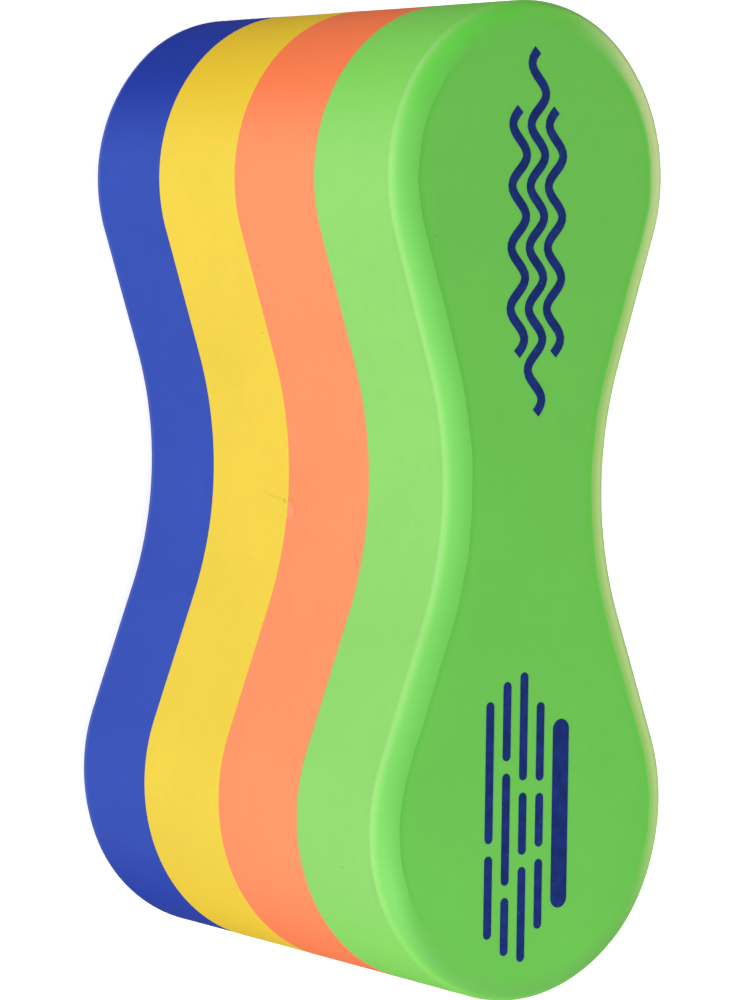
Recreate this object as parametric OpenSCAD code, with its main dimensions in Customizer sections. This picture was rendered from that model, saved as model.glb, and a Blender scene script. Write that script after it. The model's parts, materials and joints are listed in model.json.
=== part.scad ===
// Pull buoy: a swimming float held between the thighs. Four foam sheets are glued face to face,
// cut to one waisted outline, and rounded round the rim of the two outer faces.
// The float lies on its back sheet: width along X, length along Y, sheets stacked along Z.
// The origin is under the middle of the outline, at the level that the float rests on.

/* [Outline] */
// Radius of the smaller lobe
small_lobe_r = 42; // [34:0.5:50]
// Radius of the larger lobe
large_lobe_r = 45; // [36:0.5:54]
// From the waist to the middle of the smaller lobe
small_lobe_reach = 74; // [60:1:90]
// From the waist to the middle of the larger lobe
large_lobe_reach = 79; // [64:1:96]
// Width across the waist, where the thighs grip
waist_w = 49; // [38:1:60]
// Length of each straight flank, between a hollow at the waist and a lobe
flank_l = 33; // [12:1:48]

/* [Sheets] */
// Thickness of each foam sheet
sheet_t = 32.5; // [24:0.5:40]
// Thickness of each glue film
film_t = 0.2; // [0.1:0.05:0.5]
// How far a glue film stops short of the cut sides
film_clearance = 0.5; // [0:0.1:3]

/* [Rounded rims] */
// How far the rounding reaches in from the side, over an outer face
rim_in = 6; // [2:0.5:10]
// How far the rounding reaches along the side, from the front face
front_rim_down = 3.5; // [2:0.5:10]
// How far the rounding reaches along the side, from the back face
back_rim_down = 5; // [2:0.5:10]

/* [Printing] */
// Thickness of the printed ink
ink_t = 0.1; // [0.05:0.05:0.4]
// Length of the longest printed wave
wave_l = 86; // [60:1:100]
// Length of the wave on each side of it
side_wave_l = 58; // [30:1:80]
// From one crest to the next
wave_pitch = 14.5; // [10:0.5:24]
// How far a crest stands out from the middle of its wave
wave_h = 2.2; // [1:0.1:3]
// Distance between neighbouring waves
wave_gap = 5.6; // [4.5:0.1:8]
// Width of a wave's stroke
wave_stroke = 2.4; // [1:0.1:3.5]
// Flat face left between the waves and the rounding at the end of the smaller lobe
wave_margin = 6; // [2:0.5:20]
// Length of the broad printed bar
bar_l = 46; // [20:1:60]
// Width of the broad printed bar
bar_w = 5; // [3:0.5:8]
// Width of the printed dashes
dash_w = 2.4; // [1:0.1:4]
// Distance between neighbouring rows of dashes
row_pitch = 5.2; // [4.5:0.1:7]
// Space between neighbouring dashes
dash_gap = 3; // [1:0.5:6]
// From the middle line of the face to the broad bar
bar_offset = 10; // [0:0.5:14]
// Flat face left between the dashes and the rounding at the end of the larger lobe
dash_margin = 4; // [2:0.5:20]

/* [Hidden] */
$fn = 96;
lobe_steps = 48;     // straight pieces round a lobe with a rounded rim
hollow_steps = 6;    // straight pieces round a hollow with a rounded rim
rounding_steps = 8;  // straight pieces over a rounding
wave_step = 1;       // length of one straight piece of a wave

// The lengths of the dashes in each row, counted from the broad bar.
dash_rows = [[17, 13, 19], [23, 15, 26], [14, 27, 19], [20, 34]];

blue = [0.16, 0.24, 0.68];
yellow = [0.96, 0.82, 0.20];
orange = [1.00, 0.55, 0.36];
green = [0.45, 0.80, 0.33];
navy = [0.12, 0.15, 0.46];
glue = [0.85, 0.84, 0.78];

// Everything on the outline is placed from the waist, and the outline's box is centred on Y = 0.
waist_y = (large_lobe_reach + large_lobe_r - small_lobe_reach - small_lobe_r) / 2;

// Each sheet and each film starts where the one under it ends.
sheet_step = sheet_t + film_t;
face_z = 4 * sheet_t + 3 * film_t;

// Radius of the waist hollow that leads by a straight flank to a lobe of radius r.
function hollow_r(reach, r) = (reach ^ 2 + (waist_w / 2) ^ 2 - r ^ 2 - flank_l ^ 2) / (2 * r - waist_w);

function arc(middle, r, from, to, steps) = [for (i = [0:steps])
    let (a = from + (to - from) * i / steps) middle + r * [cos(a), sin(a)]];

// Points round one half of the outline moved inwards by inset, counter-clockwise from the right of
// the waist to the left: hollow, flank, lobe, flank, hollow. The lobe lies along +Y.
function half_rim(reach, r, inset, lobe_steps, hollow_steps) =
    let (hollow = hollow_r(reach, r), x = waist_w / 2 + hollow,
         lean = atan2(reach, x) - atan2(flank_l, hollow + r))
    concat(
        arc([x, 0], hollow + inset, 180, 180 - lean, hollow_steps),
        arc([0, reach], r - inset, -lean, 180 + lean, lobe_steps),
        arc([-x, 0], hollow + inset, lean, 0, hollow_steps));

// Points round the whole outline: each half without its last point, which starts the other half.
function rim(inset) =
    let (small = half_rim(small_lobe_reach, small_lobe_r, inset, lobe_steps, hollow_steps),
         large = half_rim(large_lobe_reach, large_lobe_r, inset, lobe_steps, hollow_steps))
    concat([for (i = [0:len(small) - 2]) [small[i][0], waist_y + small[i][1]]],
           [for (i = [0:len(large) - 2]) [-large[i][0], waist_y - large[i][1]]]);

// One half of the outline with true arcs: a lobe, and a neck between two round hollows.
module half_outline(reach, r, inset) {
    hollow = hollow_r(reach, r);
    translate([0, reach]) circle(r - inset);
    difference() {
        polygon(half_rim(reach, r, inset, 1, 1));
        for (side = [-1, 1]) translate([side * (waist_w / 2 + hollow), 0]) circle(hollow + inset);
    }
}

module outline(inset = 0) {
    translate([0, waist_y]) {
        half_outline(small_lobe_reach, small_lobe_r, inset);
        mirror([0, 1]) half_outline(large_lobe_reach, large_lobe_r, inset);
    }
}

module plain_sheet(t, inset = 0) {
    linear_extrude(t) outline(inset);
}

// A sheet whose upper rim is rounded: a skin over rings of points that draw in as they rise.
module rounded_sheet(rim_down) {
    turns = [for (i = [0:rounding_steps]) 90 * i / rounding_steps];
    levels = concat([[0, 0]],
        [for (a = turns) [rim_in * (1 - cos(a)), sheet_t - rim_down * (1 - sin(a))]]);
    rings = [for (level = levels) [for (p = rim(level[0])) [p[0], p[1], level[1]]]];
    n = len(rings[0]);
    top = len(rings) - 1;
    polyhedron([for (ring = rings) each ring], concat(
        [[for (i = [0:n - 1]) i], [for (i = [n - 1:-1:0]) top * n + i]],
        [for (k = [0:top - 1]) for (i = [0:n - 1]) let (j = (i + 1) % n)
            [k * n + i, (k + 1) * n + i, (k + 1) * n + j, k * n + j]]));
}

module glue_film(level) {
    color(glue) translate([0, 0, level * sheet_step - film_t]) plain_sheet(film_t, film_clearance);
}

module back_sheet_blue() {
    color(blue) translate([0, 0, sheet_t]) mirror([0, 0, 1]) rounded_sheet(back_rim_down);
}

module inner_sheet_yellow() {
    color(yellow) translate([0, 0, sheet_step]) plain_sheet(sheet_t);
}

module inner_sheet_orange() {
    color(orange) translate([0, 0, 2 * sheet_step]) plain_sheet(sheet_t);
}

module front_sheet_green() {
    color(green) translate([0, 0, 3 * sheet_step]) rounded_sheet(front_rim_down);
}

// One wave of a given length along Y: a ribbon of even width on either side of a sine curve.
module wave(l) {
    n = round(l / wave_step);
    turn = 360 / wave_pitch;
    slope = wave_h * turn * PI / 180;
    side = function (sign) [for (i = [0:n])
        let (y = i * l / n - l / 2, tilt = atan(slope * cos(turn * y)))
        [wave_h * sin(turn * y) + sign * wave_stroke / 2 * cos(tilt),
         y - sign * wave_stroke / 2 * sin(tilt)]];
    right = side(1);
    left = side(-1);
    polygon(concat(right, [for (i = [n:-1:0]) left[i]]));
}

module printed_waves() {
    end_y = waist_y + small_lobe_reach + small_lobe_r - rim_in - wave_margin;
    color(navy) translate([0, end_y - wave_l / 2, face_z]) linear_extrude(ink_t) {
        wave(wave_l);
        for (side = [-1, 1]) translate([side * wave_gap, 0]) wave(side_wave_l);
    }
}

// A printed bar along Y with round ends, from y upwards.
module bar(y, l, w) {
    translate([0, y + w / 2]) circle(d = w);
    translate([0, y + l - w / 2]) circle(d = w);
    translate([-w / 2, y + w / 2]) square([w, l - w]);
}

function sum(list, n) = n == 0 ? 0 : list[n - 1] + sum(list, n - 1);

function row_l(dashes) = sum(dashes, len(dashes)) + (len(dashes) - 1) * dash_gap;

module printed_dashes() {
    end_y = waist_y - large_lobe_reach - large_lobe_r + rim_in + dash_margin;
    middle_y = end_y + max([for (dashes = dash_rows) row_l(dashes)]) / 2;
    color(navy) translate([bar_offset, middle_y, face_z]) linear_extrude(ink_t) {
        bar(-bar_l / 2, bar_l, bar_w);
        for (row = [0:len(dash_rows) - 1]) {
            dashes = dash_rows[row];
            translate([(dash_w - bar_w) / 2 - (row + 1) * row_pitch, -row_l(dashes) / 2])
                for (i = [0:len(dashes) - 1]) bar(sum(dashes, i) + i * dash_gap, dashes[i], dash_w);
        }
    }
}

back_sheet_blue();
glue_film(1);  // back_glue_film
inner_sheet_yellow();
glue_film(2);  // middle_glue_film
inner_sheet_orange();
glue_film(3);  // front_glue_film
front_sheet_green();
printed_waves();
printed_dashes();
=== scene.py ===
"""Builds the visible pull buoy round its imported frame: four foam sheets, the glue between them, the
printing on the front face, and the stage that it lies on. Lengths are in metres, in the frame's axes:
width along X, length along Y, the sheets stacked along Z."""

import json
import math
from typing import NamedTuple

import bpy
import numpy as np
from bpy.props import FloatProperty, FloatVectorProperty, PointerProperty
from bpy.types import Operator, Panel, PropertyGroup
from mathutils import Matrix, Vector


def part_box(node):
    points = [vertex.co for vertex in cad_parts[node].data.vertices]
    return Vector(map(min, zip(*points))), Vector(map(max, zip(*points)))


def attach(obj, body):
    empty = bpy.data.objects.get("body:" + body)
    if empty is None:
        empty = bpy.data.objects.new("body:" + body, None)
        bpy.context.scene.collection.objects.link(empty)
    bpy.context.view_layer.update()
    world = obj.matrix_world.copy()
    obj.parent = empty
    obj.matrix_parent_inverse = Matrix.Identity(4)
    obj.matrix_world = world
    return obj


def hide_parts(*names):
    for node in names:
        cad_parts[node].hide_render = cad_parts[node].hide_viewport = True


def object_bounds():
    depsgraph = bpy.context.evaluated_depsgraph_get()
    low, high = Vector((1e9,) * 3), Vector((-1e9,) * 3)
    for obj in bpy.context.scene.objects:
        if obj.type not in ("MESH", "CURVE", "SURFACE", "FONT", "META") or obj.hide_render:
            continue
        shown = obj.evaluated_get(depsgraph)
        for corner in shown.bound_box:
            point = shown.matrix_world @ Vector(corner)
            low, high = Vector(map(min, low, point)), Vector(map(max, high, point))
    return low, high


bl_info = {
    "name": "Pull Buoy",
    "version": (1, 0, 0),
    "blender": (4, 5, 0),
    "location": "3D View > Sidebar > Pull Buoy",
    "description": "A swimming float of glued foam sheets with rounded rims and a printed face",
    "category": "Add Mesh",
}

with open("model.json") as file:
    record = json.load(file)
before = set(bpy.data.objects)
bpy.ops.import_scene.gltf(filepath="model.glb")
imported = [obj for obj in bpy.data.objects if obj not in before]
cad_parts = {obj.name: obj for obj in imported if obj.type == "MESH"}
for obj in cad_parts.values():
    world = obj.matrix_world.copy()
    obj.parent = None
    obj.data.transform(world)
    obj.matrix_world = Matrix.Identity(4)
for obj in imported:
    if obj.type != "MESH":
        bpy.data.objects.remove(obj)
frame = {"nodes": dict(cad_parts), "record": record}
cad_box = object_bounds()

MM = 0.001
SHEETS = ("back_sheet_blue", "inner_sheet_yellow", "inner_sheet_orange", "front_sheet_green")
FILMS = ("back_glue_film", "middle_glue_film", "front_glue_film")
PRINTS = ("printed_waves", "printed_dashes")

# The waist's place and half width are where the thighs grip, which the record states as a mount.
GRIP = next(m["pos_m"] for m in frame["record"]["mounts"] if m["name"] == "right_thigh_grip")
LOW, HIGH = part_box("inner_sheet_yellow")


def length(name, description, default):
    """A property for a length in metres."""
    return FloatProperty(name=name, description=description, default=default, min=0.0, precision=5,
                         subtype="DISTANCE", unit="LENGTH")


def angle(name, description, degrees):
    """A property for an angle, stored in radians."""
    return FloatProperty(name=name, description=description, default=math.radians(degrees),
                         subtype="ANGLE", unit="ROTATION")


def colour(name, description, default):
    """A property for a linear colour."""
    return FloatVectorProperty(name=name, description=description, default=default, size=3, min=0.0,
                               max=1.0, subtype="COLOR")


class BuoyShape(PropertyGroup):
    """Sizes of the float's outline, rims and seams."""

    small_lobe_r: length("Smaller lobe radius", "Radius of the lobe at the +Y end", 42 * MM)
    large_lobe_r: length("Larger lobe radius", "Radius of the lobe at the -Y end", HIGH.x)
    waist_half_w: length("Waist half width", "From the middle to a hollow's deepest point", GRIP[0])
    flank_l: length("Flank length", "Straight stretch between a hollow and a lobe", 33 * MM)
    rim_in: length("Rounding, in", "How far a rounded rim reaches over an outer face", 6 * MM)
    front_rim_down: length("Front rounding, down", "How far the front rim reaches along the side", 3.5 * MM)
    back_rim_down: length("Back rounding, down", "How far the back rim reaches along the side", 5 * MM)
    side_edge: angle("Edge at the side", "Bend where a rounded rim leaves the cut side", 15)
    face_edge: angle("Edge at the face", "Bend where a rounded rim meets an outer face", 14)
    ridge: length("Ridge", "How far the foam swells out where a rounded rim leaves the side", 0.12 * MM)
    groove: length("Groove", "How deep the skin dips just inside a rounded rim", 0.06 * MM)
    lip: length("Seam lip", "Width of the lip that hides a glue film", 0.45 * MM)
    seam_r: length("Seam rounding", "Radius of a sheet's cut edge at a seam", 0.22 * MM)
    waver: length("Unevenness", "How far the cut sides wander from the true outline", 0.07 * MM)
    rim_waver: length("Rim unevenness", "How far a rounded rim's inner edge wanders", 0.3 * MM)


class BuoyColours(PropertyGroup):
    """Colours of the foam, the glue and the ink."""

    blue: colour("Blue foam", "Back sheet", (0.033, 0.069, 0.375))
    yellow: colour("Yellow foam", "Inner sheet beside the blue one", (0.69, 0.510, 0.056))
    orange: colour("Orange foam", "Inner sheet beside the green one", (0.80, 0.238, 0.109))
    green: colour("Green foam, cut", "Cut side of the front sheet", (0.220, 0.535, 0.126))
    green_rim: colour("Green foam, rim", "Rounded rim of the front sheet", (0.128, 0.500, 0.073))
    green_skin: colour("Green foam, skin", "Moulded skin of the front face", (0.121, 0.462, 0.069))
    blue_rim: colour("Blue foam, rim", "Rounded rim of the back sheet", (0.026, 0.055, 0.340))
    blue_skin: colour("Blue foam, skin", "Moulded skin of the back face", (0.022, 0.045, 0.290))
    glue: colour("Glue", "Dried glue between the sheets", (0.62, 0.60, 0.50))
    ink: colour("Ink", "Printing on the front face", (0.006, 0.020, 0.125))


class BuoyStage(PropertyGroup):
    """Place of the camera and strength of the lights."""

    view_azimuth: angle("View azimuth", "Turn of the view from the face's normal towards -X", 37.493)
    view_elevation: angle("View elevation", "Turn of the view towards +Y", 4.013)
    view_roll: angle("View roll", "Turn of the picture about the line of sight", 0.726)
    view_distance: length("View distance", "From the camera to its aim point", 917.75 * MM)
    focal: FloatProperty(name="Focal length", description="In millimetres, on a 36 mm film side",
                         default=130.8, min=1.0)
    dome: FloatProperty(name="Dome light", description="Strength of the light from all round",
                        default=0.58, min=0.0)
    dome_fall: FloatProperty(name="Dome fall-off", min=0.0, default=0.04,
                             description="How much weaker the dome is at +Y, and stronger at -Y")
    key: FloatProperty(name="Key light", description="Power of the large light at -X, in watts",
                       default=13.4, min=0.0)
    fill: FloatProperty(name="Fill light", description="Power of the near light at -Y, in watts",
                        default=2.0, min=0.0)
    edge: FloatProperty(name="Edge light", min=0.0, default=15.0,
                        description="Power of the low light at +X, seen only as a reflection, in watts")


# ---------------------------------------------------------------- outline and surfaces

# How many points the stretches of a surface have.
LOBE_STEPS = 110
FLANK_STEPS = 18
HOLLOW_STEPS = 20
SEAM_STEPS = 5
RIM_STEPS = 22
WALL_STEPS = 12
CAP_COLUMNS = 28

# Places of extra rows close to an edge: on the side from it, and on the skin inside a rounded rim.
NEAR_EDGE = np.array([0.3, 0.7, 1.2, 1.9, 2.8]) * MM
PAST_RIM = np.array([0.25, 0.55, 0.9, 1.4, 2.1, 3.1, 4.4]) * MM

SHARP = math.radians(16)  # a bend that is shaded as an edge
RIM_LENGTH = 7.1 * MM  # along the front sheet's rounded rim from its ridge to the face
FADE = 0.8 * MM  # how far the ridge and the groove spread
LIP_SLOPE = 0.05 * MM  # how much further in a seam's lip meets the glued face
NO_RIDGE = -1.0  # the distance past a ridge on a sheet's glued edge, in metres

# The outline's normal along Y, over which the rim turns soft at the end of each lobe.
SMALL_END = (0.60, 0.93)
LARGE_END = (-0.15, -0.75)
SOFT = 0.15  # what is left of a rim's edges and groove there

# Shortest and longest wavelength of the wander of a cut side and of a rim's inner edge.
SIDE_WAVES = (30 * MM, 90 * MM)
RIM_WAVES = (7 * MM, 35 * MM)
WAVES = 6
SIDE_SEED = 20
RIM_SEED = 50


def half_side(reach, r, shape):
    """Points and outward normals up the right side of half the float, from the waist to the end of a
    lobe of radius r that lies reach from the waist. An arc hollows the waist, a straight flank follows
    its tangent, and an arc rounds the lobe. The flank's length fixes the hollow's radius: the distance
    between the two arcs' middles is the long side of a triangle over the flank and both radii."""
    half = shape.waist_half_w
    hollow = (reach**2 + half**2 - r**2 - shape.flank_l**2) / (2 * (r - half))
    x = half + hollow
    lean = math.atan2(reach, x) - math.atan2(shape.flank_l, hollow + r)
    turn = np.linspace(math.pi, math.pi - lean, HOLLOW_STEPS)
    into = np.stack([np.cos(turn), np.sin(turn)], 1)
    lobe_turn = np.linspace(-lean, math.pi / 2, LOBE_STEPS)
    out = np.stack([np.cos(lobe_turn), np.sin(lobe_turn)], 1)
    waist_arc = [x, 0] + hollow * into
    lobe_arc = [0, reach] + r * out
    t = np.linspace(0, 1, FLANK_STEPS)[1:-1, None]
    flank = waist_arc[-1] * (1 - t) + lobe_arc[0] * t
    points = np.concatenate([waist_arc, flank, lobe_arc])
    normals = np.concatenate([-into, np.repeat(out[:1], len(flank), 0), out])
    return points, normals


def ring(shape):
    """Points and outward normals round the whole outline, counter-clockwise from the -Y end: the right
    side, then its mirror image. Also returns how many points the right side has."""
    top, top_normals = half_side(HIGH.y - shape.small_lobe_r - GRIP[1], shape.small_lobe_r, shape)
    low, low_normals = half_side(GRIP[1] - LOW.y - shape.large_lobe_r, shape.large_lobe_r, shape)
    flip = [1, -1]
    right = np.concatenate([(low * flip)[:0:-1], top]) + [0, GRIP[1]]
    right_normals = np.concatenate([(low_normals * flip)[:0:-1], top_normals])
    mirror = [-1, 1]
    points = np.concatenate([right, (right * mirror)[-2:0:-1]])
    normals = np.concatenate([right_normals, (right_normals * mirror)[-2:0:-1]])
    return points, normals, len(right)


def seam_profile(shape, half_film):
    """From the cut side to a glued face, as (inset, height over the glued face): a lip that meets the
    next sheet's lip half way across the glue, rounded at its outer corner."""
    turn = np.linspace(0, math.pi / 2, SEAM_STEPS)
    r = shape.seam_r
    corner = np.stack([r * (1 - np.cos(turn)), half_film - r * (1 - np.sin(turn))], 1)
    return np.concatenate([corner, [[shape.lip, half_film], [shape.lip + LIP_SLOPE, 0.0]]])


def rim_profile(shape, down, crisp):
    """From the cut side over a rounded rim on to an outer face, as (inset, height over the face). The
    rounding is a quadratic curve: its middle point is where the tangents at its two ends cross, and they
    stand off the side and the face by the two edge angles. Just inside it the skin dips into a groove.
    The angles and the groove are multiplied by crisp."""
    s, f = shape.side_edge * crisp, shape.face_edge * crisp
    reach = (down * math.cos(f) - shape.rim_in * math.sin(f)) / math.cos(s + f)
    start = np.array([0, -down])
    middle = start + reach * np.array([math.sin(s), math.cos(s)])
    end = np.array([shape.rim_in, 0])
    t = np.linspace(0, 1, RIM_STEPS)[:, None]
    curve = start * (1 - t) ** 2 + middle * 2 * t * (1 - t) + end * t**2
    dip = crisp * shape.groove * (PAST_RIM / FADE) * np.exp(1 - PAST_RIM / FADE)
    return np.concatenate([curve, np.stack([shape.rim_in + PAST_RIM, -dip], 1)])


def swelling(shape, crisp, distance):
    """How far the foam stands out at a distance from a ridge: a bell curve of the distance."""
    return crisp * shape.ridge * np.exp(-((distance / FADE) ** 2))


def wander(place, seed, shortest, longest):
    """A slow wander in -1 to 1 over an array of places: the mean of sines of place, whose wavelengths,
    directions and phases come from a seeded generator."""
    draw = np.random.default_rng(seed)
    total = 0
    for _ in range(WAVES):
        direction = draw.normal(size=place.shape[-1])
        direction /= np.linalg.norm(direction)
        turns = 2 * math.pi / draw.uniform(shortest, longest)
        total = total + np.sin(place @ direction * turns + draw.uniform(0, 2 * math.pi))
    return total / WAVES


def sheet_profile(shape, node, lower_rim, upper_rim, half_film, crisp):
    """A sheet's whole profile from its lower face to its upper one, as (inset, height), and for each
    point its distance past the ridge of a rounded rim: below 0 on the side, above 0 over the rim. A rim is
    given as its depth, or 0 for a glued edge."""
    low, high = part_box(node)

    def end(down):
        part = rim_profile(shape, down, crisp) if down else seam_profile(shape, half_film)
        past = np.concatenate([[0], np.cumsum(np.linalg.norm(np.diff(part, axis=0), axis=1))])
        return part, past if down else np.full(len(part), NO_RIDGE)

    lower, lower_past = end(lower_rim)
    upper, upper_past = end(upper_rim)
    bottom_z, top_z = low.z - lower[0, 1], high.z + upper[0, 1]
    even = np.linspace(bottom_z + NEAR_EDGE[-1], top_z - NEAR_EDGE[-1], WALL_STEPS)[1:-1]
    wall_z = np.concatenate([bottom_z + NEAR_EDGE, even, top_z - NEAR_EDGE[::-1]])
    below = wall_z - bottom_z if lower_rim else np.full_like(wall_z, -NO_RIDGE)
    above = top_z - wall_z if upper_rim else np.full_like(wall_z, -NO_RIDGE)
    off = np.minimum(below, above)
    wall = np.stack([-swelling(shape, crisp, off), wall_z], 1)
    bottom = np.stack([lower[::-1, 0], low.z - lower[::-1, 1]], 1)
    top = np.stack([upper[:, 0], high.z + upper[:, 1]], 1)
    for rounded, part, past in ((lower_rim, bottom, lower_past[::-1]), (upper_rim, top, upper_past)):
        if rounded:
            part[:, 0] -= swelling(shape, crisp, past)
    profile = np.concatenate([bottom, wall, top])
    return profile, np.concatenate([lower_past[::-1], -off, upper_past])


def sheet_mesh(name, shape, node, lower_rim, upper_rim, half_film, seed):
    """A foam sheet's closed surface. Its side is the outline's ring carried up the sheet's profile: a
    point lies at the ring's point less its normal times the inset. The profile is crisp along the sides
    and soft round the ends of the lobes, with a smooth change between. Each face is closed by straight
    rows from the right side to the left at the same Y. Two attributes go with it: how far a point is
    past a ridge, and end_facing, the normal along Y where it points to the nearer end of the float."""
    points, normals, side = ring(shape)
    around = len(points)
    crisp, past = sheet_profile(shape, node, lower_rim, upper_rim, half_film, 1.0)
    soft, _ = sheet_profile(shape, node, lower_rim, upper_rim, half_film, SOFT)
    levels = len(crisp)
    outward = normals[:, 1] * (points[:, 1] - GRIP[1]) > 0
    facing = np.where(outward, normals[:, 1], 0)
    turns = [(facing - start) / (end - start) for start, end in (SMALL_END, LARGE_END)]
    turned = np.clip(np.maximum(*turns), 0, 1)
    share = (turned**2 * (3 - 2 * turned))[None, :, None]
    profile = crisp[:, None] * (1 - share) + soft[:, None] * share

    inset, height = profile[..., 0], profile[..., 1]
    place = np.concatenate([np.repeat(points[None], levels, 0), height[..., None]], -1)
    over_rim = np.clip(inset / shape.rim_in, 0, 1)
    uneven = wander(place, seed, *SIDE_WAVES) * shape.waver * (1 - over_rim)
    uneven = uneven + wander(points, seed + RIM_SEED, *RIM_WAVES) * shape.rim_waver * over_rim
    shift = uneven - inset - shape.waver
    plan = points[None] + normals[None] * shift[..., None]
    skin = np.concatenate([plan, height[..., None]], -1).reshape(-1, 3)
    at = np.arange(levels * around).reshape(levels, around)
    after = np.roll(at, -1, 1)
    faces = [np.stack([at[:-1], after[:-1], after[1:], at[1:]], -1).reshape(-1, 4)]

    verts = [skin]
    values = [np.repeat(past, around)]
    ends = [np.tile(facing, levels)]
    across = np.linspace(0, 1, CAP_COLUMNS + 1)[1:-1, None]
    inner = np.arange(1, side - 1)
    count = levels * around
    for level in (0, levels - 1):
        right, left = at[level, inner], at[level, around - inner]
        rows = skin[right][:, None] * (1 - across) + skin[left][:, None] * across
        new = count + np.arange(rows[..., 0].size).reshape(rows.shape[:2])
        count += new.size
        verts.append(rows.reshape(-1, 3))
        values.append(np.full(new.size, past[level]))
        ends.append(np.zeros(new.size))
        first, last = (np.full((1, CAP_COLUMNS + 1), at[level, k]) for k in (0, side - 1))
        grid = np.concatenate([first, np.concatenate([right[:, None], new, left[:, None]], 1), last])
        corners = [grid[:-1, :-1], grid[:-1, 1:], grid[1:, 1:], grid[1:, :-1]]
        order = (0, 1, 2, 3) if level == 0 else (0, 3, 2, 1)
        faces.append(np.stack([corners[k] for k in order], -1).reshape(-1, 4))

    quads = np.concatenate(faces)
    whole = (quads != np.roll(quads, 1, 1)).all(1)
    tips = [list(dict.fromkeys(corners)) for corners in quads[~whole].tolist()]
    mesh = bpy.data.meshes.new(name)
    mesh.from_pydata(np.concatenate(verts), [], quads[whole].tolist() + tips)
    mesh.validate()
    for key, parts in (("past_ridge", values), ("end_facing", ends)):
        stored = mesh.attributes.new(key, "FLOAT", "POINT")
        stored.data.foreach_set("value", np.concatenate(parts).astype(np.float32))
    mesh.shade_smooth()
    mesh.set_sharp_from_angle(angle=SHARP)
    obj = bpy.data.objects.new(name, mesh)
    bpy.context.scene.collection.objects.link(obj)
    return obj


# ---------------------------------------------------------------- shader maths

class Socket:
    """One output of a node. On a number, + - * add Math nodes."""

    def __init__(self, maker, socket):
        self.maker = maker
        self.socket = socket

    def math(self, operation, first, second):
        return self.maker.out("ShaderNodeMath", "Value", {"operation": operation}, {0: first, 1: second})

    def __add__(self, other):
        return self.math("ADD", self, other)

    def __sub__(self, other):
        return self.math("SUBTRACT", self, other)

    def __rsub__(self, other):
        return self.math("SUBTRACT", other, self)

    def __mul__(self, other):
        return self.math("MULTIPLY", self, other)

    __radd__ = __add__
    __rmul__ = __mul__

    def ramp(self, start, end):
        """Rises smoothly from 0 at start to 1 at end, or falls where start is above end."""
        values = {"Value": self, "From Min": start, "From Max": end, "To Min": 0.0, "To Max": 1.0}
        return self.maker.out("ShaderNodeMapRange", "Result", {"interpolation_type": "SMOOTHSTEP"}, values)


class Maker:
    """Makes the nodes of one material."""

    def __init__(self, name):
        self.material = bpy.data.materials.new(name)
        self.material.use_nodes = True
        self.tree = self.material.node_tree
        self.tree.nodes.clear()
        self.place = self.out("ShaderNodeTexCoord", "Object")

    def node(self, kind, settings=None, values=None):
        """Adds a node: its settings first, then the values or links of its sockets."""
        made = self.tree.nodes.new(kind)
        for key, value in (settings or {}).items():
            setattr(made, key, value)
        for key, value in (values or {}).items():
            if isinstance(value, Socket):
                self.tree.links.new(value.socket, made.inputs[key])
            else:
                made.inputs[key].default_value = value
        return made

    def out(self, kind, output, settings=None, values=None):
        """Adds a node and returns one of its outputs."""
        return Socket(self, self.node(kind, settings, values).outputs[output])

    def moved(self, shift, scale=(1, 1, 1)):
        """The place, moved and scaled, so that patterns of the same kind don't match."""
        values = {"Vector": self.place, "Location": shift, "Scale": scale}
        return self.out("ShaderNodeMapping", "Vector", None, values)

    def noise(self, scale, detail=2.0, squeeze=(1, 1, 1), seed=0.0):
        """Noise from 0 to 1 whose grain is about 1 / scale metres, squeezed along the axes."""
        place = self.moved((seed, seed * 0.7, seed * 1.3), squeeze)
        values = {"Vector": place, "Scale": scale, "Detail": detail, "Roughness": 0.5}
        return self.out("ShaderNodeTexNoise", "Fac", None, values)

    def dots(self, scale, radius, share, seed=0.0):
        """1 in small round dots, one in some of the cells of a Voronoi pattern, and 0 between them."""
        place = self.moved((seed, seed * 1.7, seed * 0.3))
        cells = self.node("ShaderNodeTexVoronoi", None, {"Vector": place, "Scale": scale})
        near = Socket(self, cells.outputs["Distance"]).ramp(radius, radius * 0.35)
        pick = self.out("ShaderNodeSeparateColor", "Red", None,
                        {"Color": Socket(self, cells.outputs["Color"])}).ramp(share, share * 0.9)
        return near * pick

    def attribute(self, name):
        """A number that the mesh holds at its points."""
        return self.out("ShaderNodeAttribute", "Fac", {"attribute_name": name})

    def axis(self, name):
        """The place along one axis, in metres."""
        return self.out("ShaderNodeSeparateXYZ", name, None, {"Vector": self.place})

    def oval(self, scuff):
        """1 inside a scuff's soft oval on the -X side, and 0 outside it."""
        across, up = self.axis("Y") - scuff.y, self.axis("Z") - scuff.z
        u = (up * math.cos(scuff.tilt) + across * math.sin(scuff.tilt)) * (1 / scuff.long)
        v = (across * math.cos(scuff.tilt) - up * math.sin(scuff.tilt)) * (1 / scuff.wide)
        return (u * u + v * v).ramp(1.0, 0.35) * self.axis("X").ramp(0.0, -1 * MM)

    def mix(self, factor, first, second):
        """Blends two colours."""
        return self.out("ShaderNodeMix", 2, {"data_type": "RGBA"}, {0: factor, 6: first, 7: second})

    def finish(self, colour, roughness, height, bump, settings=None):
        """Ends the material in a Principled shader, with height as a bump of the given depth."""
        relief = {"Height": height, "Distance": bump, "Strength": 1.0}
        normal = self.out("ShaderNodeBump", "Normal", None, relief)
        values = {"Base Color": colour, "Roughness": roughness, "Normal": normal}
        values.update(settings or {})
        shader = self.out("ShaderNodeBsdfPrincipled", "BSDF", None, values)
        self.node("ShaderNodeOutputMaterial", None, {"Surface": shader})
        return self.material


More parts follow.
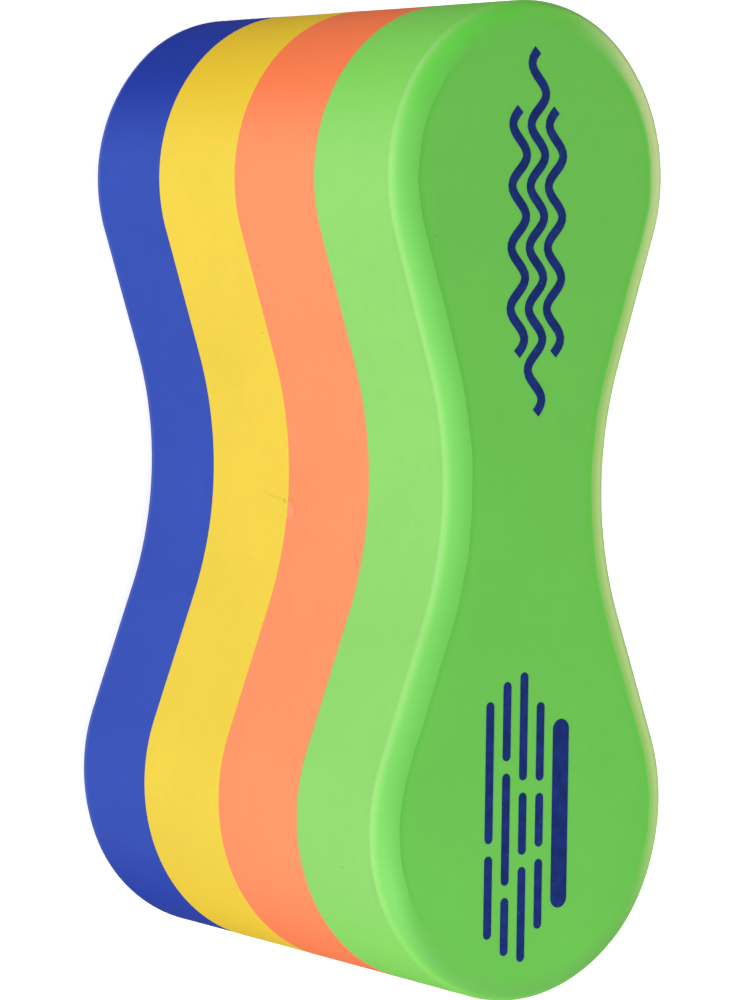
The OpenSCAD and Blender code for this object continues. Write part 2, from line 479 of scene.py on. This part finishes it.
def rgba(colour, gain=1.0):
    """A colour with alpha, made lighter or darker."""
    return tuple(min(1.0, c * gain) for c in colour) + (1.0,)


def pale(colour):
    """A foam colour made pale, for rubbed wear and for painted highlight and sheen on a rim: each channel
    loses 3 % and then gains 0.05.
    """
    return tuple(c * 0.97 + 0.05 for c in colour)


def deep(colour):
    """A foam colour deepened to stand for painted shade: a channel c sinks by (c / strongest) ** 0.32."""
    return tuple(c * (c / max(colour)) ** 0.32 for c in colour)


def dark(colour):
    """A foam colour in a scratch."""
    return tuple(c * 0.72 for c in colour)


class Scuff(NamedTuple):
    """A soft oval mark on the -X side: its middle, its half length and half width, its turn from Z towards
    Y in radians, its strength and its colour."""

    y: float
    z: float
    long: float
    wide: float
    tilt: float
    strength: float
    colour: tuple


def yellow_scuffs(colour):
    """A faint dark scratch up to the seam with the orange sheet, and a small pit where it ends."""
    seam = HIGH.z
    scratch = Scuff(-1.5 * MM, seam - 5.5 * MM, 5.2 * MM, 0.42 * MM, -0.14, 0.30, dark(colour))
    pit = Scuff(-2.3 * MM, seam - 1.2 * MM, 1.0 * MM, 0.6 * MM, -0.3, 0.75, dark(colour))
    return scratch, pit


def orange_scuffs(colour):
    """A half-round patch rubbed pale on the seam with the yellow sheet, with a darker upper edge."""
    seam = HIGH.z
    shade = Scuff(-3.6 * MM, seam + 1.6 * MM, 3.6 * MM, 2.2 * MM, -0.6, 0.35, dark(colour))
    patch = Scuff(-4.4 * MM, seam + 0.6 * MM, 3.2 * MM, 2.3 * MM, -0.5, 0.80, pale(colour))
    return shade, patch


class Sheet(NamedTuple):
    """How a foam sheet looks: the colours of its cut side, its rounded rim and its moulded skin, how much
    its side is mottled, how light its ends stay under the painted shade that deepens them, how strong the
    painted pale sheen and rougher grain on its rim are, and its scuffs."""

    slot: str
    cut: tuple
    rim: tuple
    skin: tuple
    mottle: float
    end_shade: float
    grainy_sheen: float
    scuffs: tuple


# Scales of the foam's patterns, in repeats a metre: slow clouds, blotches, streaks, the grain of the cells,
# burst cells and specks of dirt.
CLOUD = 38
BLOTCH = 240
STREAK = 60
GRAIN = 2400
CELLS = 1250
SPECKS = 160
STREAK_SQUEEZE = (14, 1, 5)
PATTERN_STEP = 13  # how far one sheet's patterns are moved from the last one's

# The normal along Y over which painted shade turns a lobe's colour deeper towards its end.
SMALL_SHADE_TURN = (0.08, 0.67)
LARGE_SHADE_TURN = (-0.30, -0.85)

# Where along X and Y the front rim has its painted pale sheen and rougher grain: on the right, round the
# smaller lobe.
GRAINY_SHEEN_X = (8 * MM, 24 * MM)
GRAINY_SHEEN_Y = (40 * MM, 75 * MM)


def foam(look, seed):
    """Closed-cell foam. Where it was cut it is pale and matt, with fine cells; its moulded skin is deeper
    in colour and smoother. A rounded rim lies between them in colour, with a painted highlight along its
    ridge and painted shade towards the face, and painted shade darkens the groove inside it. Painted shade
    makes the colours deeper round the ends of the lobes, and a painted pale sheen lies on the front rim's
    right side."""
    cut, rim, skin = look.cut, look.rim, look.skin
    m = Maker(look.slot)
    cloud = m.noise(CLOUD, 3, seed=seed)
    blotch = m.noise(BLOTCH, 3, seed=seed + 3)
    streak = m.noise(STREAK, 2, STREAK_SQUEEZE, seed=seed + 5)
    grain = m.noise(GRAIN, 2, seed=seed + 7)
    cells = m.dots(CELLS, 0.40, 0.30, seed)
    specks = m.dots(SPECKS, 0.065, 0.14, seed + 11)

    # Where on the sheet: the rim, the skin inside it, the ridge, the groove and the two ends.
    past = m.attribute("past_ridge")
    facing = m.attribute("end_facing")
    on_rim = past.ramp(-0.2 * MM, 3.2 * MM)
    small_end, large_end = facing.ramp(*SMALL_END), facing.ramp(*LARGE_END)
    small_shade, large_shade = facing.ramp(*SMALL_SHADE_TURN), facing.ramp(*LARGE_SHADE_TURN)
    along = 1 - small_end - large_end
    crisp_skin = past.ramp(RIM_LENGTH - 0.1 * MM, RIM_LENGTH + 0.15 * MM)
    soft_skin = past.ramp(RIM_LENGTH - 2.5 * MM, RIM_LENGTH + 1.5 * MM)
    on_skin = crisp_skin * along + soft_skin * (1 - along)
    ridge = past.ramp(-1.0 * MM, -0.1 * MM) * past.ramp(1.6 * MM, 0.1 * MM) * (along * 0.85 + 0.15)
    groove = crisp_skin * along * past.ramp(RIM_LENGTH + 2.4 * MM, RIM_LENGTH + 0.2 * MM)
    crest_highlight = past.ramp(2.2 * MM, 0.4 * MM) * (0.4 - large_end * 0.4)
    band = past.ramp(-0.3 * MM, 0.8 * MM) * past.ramp(RIM_LENGTH + 1.0 * MM, RIM_LENGTH - 1.5 * MM)
    grainy_sheen = m.axis("X").ramp(*GRAINY_SHEEN_X) * m.axis("Y").ramp(*GRAINY_SHEEN_Y) * band * look.grainy_sheen

    # The side, the rim and the skin, each mottled, with painted shade that deepens the ends of the lobes
    # and the rim's inner part, and a painted highlight along the rim's ridge.
    tone = (cloud * 0.45 + blotch * 0.25 + streak * 0.12 + grain * 0.18).ramp(0.28, 0.72)
    side = m.mix(tone, rgba(cut, 1 - look.mottle), rgba(cut, 1 + look.mottle))
    # Painted shade: the side deepens towards each end of a lobe.
    side = m.mix(small_shade * (0.8 + tone * 0.1), side, rgba(deep(cut), look.end_shade))
    side = m.mix(large_shade * (0.6 + tone * 0.1), side, rgba(deep(cut), 1.24 * look.end_shade))
    # Painted shade: the rim deepens towards each end of a lobe.
    rounded = m.mix(large_shade, rgba(rim), rgba(skin, 0.88))
    rounded = m.mix(small_shade, rounded, rgba(deep(rim), 1.03))
    # Painted highlight: the rim is lighter along its ridge.
    rounded = m.mix(crest_highlight, rounded, rgba(rim, 1.12))
    # Painted shade: the rim darkens towards the face.
    rounded = m.mix(past.ramp(3.0 * MM, RIM_LENGTH) * 0.6, rounded, rgba(rim, 0.85))
    rounded = m.mix(tone * 0.14, rounded, rgba(cut))
    smooth = m.mix(tone, rgba(skin, 0.97), rgba(skin, 1.03))
    surface = m.mix(on_skin, m.mix(on_rim, side, rounded), smooth)

    # Burst cells, dirt and wear, with a painted highlight along the ridge, painted shade in the groove and
    # a painted pale sheen on the right of the front rim.
    surface = m.mix(cells * (0.10 - on_rim * 0.06), surface, rgba(cut, 0.6))
    surface = m.mix(specks * 0.45, surface, rgba(cut, 0.35))
    # Painted highlight: the cut colour made pale along the ridge.
    surface = m.mix(ridge * (0.35 + blotch * 0.5), surface, rgba(pale(cut)))
    # Painted shade: the groove inside the rim is darkened.
    surface = m.mix(groove * 0.5, surface, rgba(deep(skin)))
    for scuff in look.scuffs:
        surface = m.mix(m.oval(scuff) * scuff.strength, surface, rgba(scuff.colour))
    # Painted pale sheen, with a rougher grain, on the right of the front rim.
    surface = m.mix(grainy_sheen * (blotch * 0.75 + grain * 0.6), surface, rgba(pale(cut)))

    rough = 0.95 - on_rim * 0.35 + grain * 0.05
    height = grain * (grainy_sheen * 1.2 + 0.30) + blotch * 0.25 - cells * (0.35 - on_rim * 0.25)
    sheen = on_rim * (0.8 - on_skin * 0.65) * (along * 0.6 + 0.4)
    sheen = sheen * (1 - past.ramp(2.5 * MM, RIM_LENGTH) * 0.5)
    gloss = {"Specular IOR Level": 0.06, "Coat Weight": sheen, "Coat Roughness": 0.42}
    return m.finish(surface, rough, height, 0.05 * MM, gloss)


def glue_finish(name, colour):
    """Dried contact glue: cloudy, with a rough broken surface."""
    m = Maker(name)
    cloud = m.noise(180, 3)
    beads = m.noise(1500, 2, seed=2.0)
    tint = m.mix(cloud, rgba(colour, 0.8), rgba(colour, 1.1))
    return m.finish(tint, 0.45 + beads * 0.3, beads, 0.05 * MM)


def ink_finish(name, colour, under):
    """Screen-printed ink: nearly even, thin in places, with pinholes where the foam shows through."""
    m = Maker(name)
    thin = m.noise(350, 4, seed=1.0)
    grain = m.noise(2600, 2, seed=4.0)
    holes = m.dots(1300, 0.20, 0.12, 6.0)
    tint = m.mix(thin.ramp(0.3, 0.75), rgba(colour, 0.9), rgba(colour, 1.35))
    broken = m.mix(holes * 0.5, tint, rgba(under, 0.8))
    return m.finish(broken, 0.75 + grain * 0.12, grain, 0.03 * MM, {"Specular IOR Level": 0.05})


# ---------------------------------------------------------------- operators

class BUOY_OT_foam(Operator):
    """Make the four foam sheets, each lipped over its glue and the outer two with a rounded rim"""

    bl_idname = "buoy.foam"
    bl_label = "Foam Sheets"

    def execute(self, context):
        shape = context.scene.buoy_shape
        tint = context.scene.buoy_colours
        yellow, orange = (tint.yellow,) * 3, (tint.orange,) * 3
        looks = (
            Sheet("blue_foam", tint.blue, tint.blue_rim, tint.blue_skin, 0.055, 0.76, 0.0, ()),
            Sheet("yellow_foam", *yellow, 0.03, 0.97, 0.0, yellow_scuffs(tint.yellow)),
            Sheet("orange_foam", *orange, 0.03, 0.98, 0.0, orange_scuffs(tint.orange)),
            Sheet("green_foam", tint.green, tint.green_rim, tint.green_skin, 0.03, 0.98, 1.0, ()),
        )
        rims = {"back_sheet_blue": (shape.back_rim_down, 0), "front_sheet_green": (0, shape.front_rim_down)}
        half_film = (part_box(SHEETS[1])[0].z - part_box(SHEETS[0])[1].z) / 2
        for i, (node, look) in enumerate(zip(SHEETS, looks, strict=True)):
            lower_rim, upper_rim = rims.get(node, (0, 0))
            name = node.replace("sheet", "foam")
            piece = sheet_mesh(name, shape, node, lower_rim, upper_rim, half_film, SIDE_SEED + i)
            piece.data.materials.append(foam(look, 1.0 + PATTERN_STEP * i))
            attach(piece, "root")
            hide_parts(node)
        return {"FINISHED"}


def cover(names, material):
    """Gives a material to the frame's own nodes of these names."""
    for name in names:
        materials = frame["nodes"][name].data.materials
        materials.clear()
        materials.append(material)


class BUOY_OT_glue(Operator):
    """Finish the glue films between the sheets"""

    bl_idname = "buoy.glue"
    bl_label = "Glue Films"

    def execute(self, context):
        cover(FILMS, glue_finish("dried_glue", context.scene.buoy_colours.glue))
        return {"FINISHED"}


class BUOY_OT_print(Operator):
    """Finish the waves and dashes printed on the front face"""

    bl_idname = "buoy.print"
    bl_label = "Printing"

    def execute(self, context):
        tint = context.scene.buoy_colours
        cover(PRINTS, ink_finish("navy_ink", tint.ink, tint.green_skin))
        return {"FINISHED"}


# The stage, in metres and in the frame's axes.
FLOOR_HALF = 14.0
FLOOR_GLOW = 0.5  # strength of its emission
KEY_PLACE, KEY_SIZE = (-1.15, 0.16, 0.44), (0.9, 0.9)
FILL_PLACE, FILL_SIZE = (-0.05, -0.42, 0.62), (0.4, 0.4)
EDGE_PLACE, EDGE_SIZE = (1.0, 0.22, 0.33), (1.3, 0.6)
EDGE_COLOUR = (1.0, 0.52, 0.40)
AIM_SHIFT = Vector((1.05, -2.77, 2.1))  # from the middle of the float to the aim point, in millimetres


def floor_finish(name):
    """A smooth white floor that glows faintly, as a lit table does."""
    m = Maker(name)
    cloud = m.noise(3, 2)
    tint = m.mix(cloud, (0.90, 0.90, 0.90, 1), (0.93, 0.93, 0.93, 1))
    glow = {"Emission Color": (1, 1, 1, 1), "Emission Strength": FLOOR_GLOW}
    return m.finish(tint, 0.9, cloud, 0.01 * MM, glow)


def add_floor():
    """A square floor at the level that the float rests on. It throws no light back on to the float, which
    the dome lights evenly from below as well."""
    mesh = bpy.data.meshes.new("floor")
    corners = np.array([[-1, -1, 0], [1, -1, 0], [1, 1, 0], [-1, 1, 0]]) * FLOOR_HALF
    mesh.from_pydata(corners, [], [[0, 1, 2, 3]])
    mesh.materials.append(floor_finish("floor_white"))
    obj = bpy.data.objects.new("floor", mesh)
    obj.visible_diffuse = False
    obj.visible_glossy = False
    bpy.context.scene.collection.objects.link(obj)


def add_dome(strength, fall):
    """Light from all round: strength less fall times the sine of the direction's rise towards +Y."""
    world = bpy.data.worlds.new("soft_dome")
    world.use_nodes = True
    nodes, links = world.node_tree.nodes, world.node_tree.links
    place = nodes.new("ShaderNodeTexCoord")
    parts = nodes.new("ShaderNodeSeparateXYZ")
    level = nodes.new("ShaderNodeMath")
    level.operation = "MULTIPLY_ADD"
    level.inputs[1].default_value = -fall
    level.inputs[2].default_value = strength
    links.new(place.outputs["Generated"], parts.inputs["Vector"])
    links.new(parts.outputs["Y"], level.inputs[0])
    links.new(level.outputs["Value"], nodes["Background"].inputs["Strength"])
    nodes["Background"].inputs["Color"].default_value = (1, 1, 1, 1)
    bpy.context.scene.world = world


def add_light(name, place, aim, size, power, colour=(1, 1, 1)):
    """A light panel at a place, turned to an aim point and hidden from the camera. Its size is its width
    along the floor and its height."""
    data = bpy.data.lights.new(name, "AREA")
    data.shape = "RECTANGLE"
    data.size, data.size_y = size
    data.energy = power
    data.color = colour
    obj = bpy.data.objects.new(name, data)
    obj.location = place
    obj.rotation_euler = (Vector(aim) - Vector(place)).to_track_quat("-Z", "Y").to_euler()
    obj.visible_camera = False
    bpy.context.scene.collection.objects.link(obj)
    return obj


def add_camera(stage, aim):
    """A camera that looks along the stage's view angles at the aim point. Up in the picture is +Y."""
    turn, rise, roll = stage.view_azimuth, stage.view_elevation, stage.view_roll
    back = Vector((-math.sin(turn) * math.cos(rise), math.sin(rise), math.cos(turn) * math.cos(rise)))
    right = Vector((0, 1, 0)).cross(back).normalized()
    up = back.cross(right)
    across = right * math.cos(roll) + up * math.sin(roll)
    upright = up * math.cos(roll) - right * math.sin(roll)
    data = bpy.data.cameras.new("camera")
    data.lens = stage.focal
    obj = bpy.data.objects.new("camera", data)
    axes = Matrix((across, upright, back)).transposed().to_4x4()
    obj.matrix_world = Matrix.Translation(aim + back * stage.view_distance) @ axes
    bpy.context.scene.collection.objects.link(obj)
    bpy.context.scene.camera = obj


class BUOY_OT_stage(Operator):
    """Make the floor, the soft lights and the camera"""

    bl_idname = "buoy.stage"
    bl_label = "Stage"

    def execute(self, context):
        stage = context.scene.buoy_stage
        add_floor()
        middle = (cad_box[0] + cad_box[1]) / 2
        add_light("key", KEY_PLACE, middle, KEY_SIZE, stage.key)
        add_light("fill", FILL_PLACE, middle, FILL_SIZE, stage.fill)
        edge = add_light("edge", EDGE_PLACE, middle, EDGE_SIZE, stage.edge, EDGE_COLOUR)
        edge.visible_diffuse = False
        add_camera(stage, middle + AIM_SHIFT * MM)
        add_dome(stage.dome, stage.dome_fall)
        context.scene.view_settings.view_transform = "Standard"
        return {"FINISHED"}


class BUOY_PT_panel(Panel):
    """Lists the float's sizes, colours and parts"""

    bl_idname = "BUOY_PT_panel"
    bl_label = "Pull Buoy"
    bl_space_type = "VIEW_3D"
    bl_region_type = "UI"
    bl_category = "Pull Buoy"

    def draw(self, context):
        for group in (context.scene.buoy_shape, context.scene.buoy_colours, context.scene.buoy_stage):
            box = self.layout.box()
            for key in group.__annotations__:
                box.prop(group, key)
        for kind in OPERATORS:
            self.layout.operator(kind.bl_idname)


GROUPS = {"buoy_shape": BuoyShape, "buoy_colours": BuoyColours, "buoy_stage": BuoyStage}
OPERATORS = (BUOY_OT_stage, BUOY_OT_foam, BUOY_OT_glue, BUOY_OT_print)


def register():
    for kind in (*GROUPS.values(), *OPERATORS, BUOY_PT_panel):
        bpy.utils.register_class(kind)
    for name, kind in GROUPS.items():
        setattr(bpy.types.Scene, name, PointerProperty(type=kind))


def unregister():
    for name in GROUPS:
        delattr(bpy.types.Scene, name)
    for kind in (BUOY_PT_panel, *reversed(OPERATORS), *reversed(GROUPS.values())):
        bpy.utils.unregister_class(kind)


def main():
    """Registers the add-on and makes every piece."""
    register()
    bpy.ops.buoy.stage()
    bpy.ops.buoy.foam()
    bpy.ops.buoy.glue()
    bpy.ops.buoy.print()


if __name__ == "__main__":
    main()
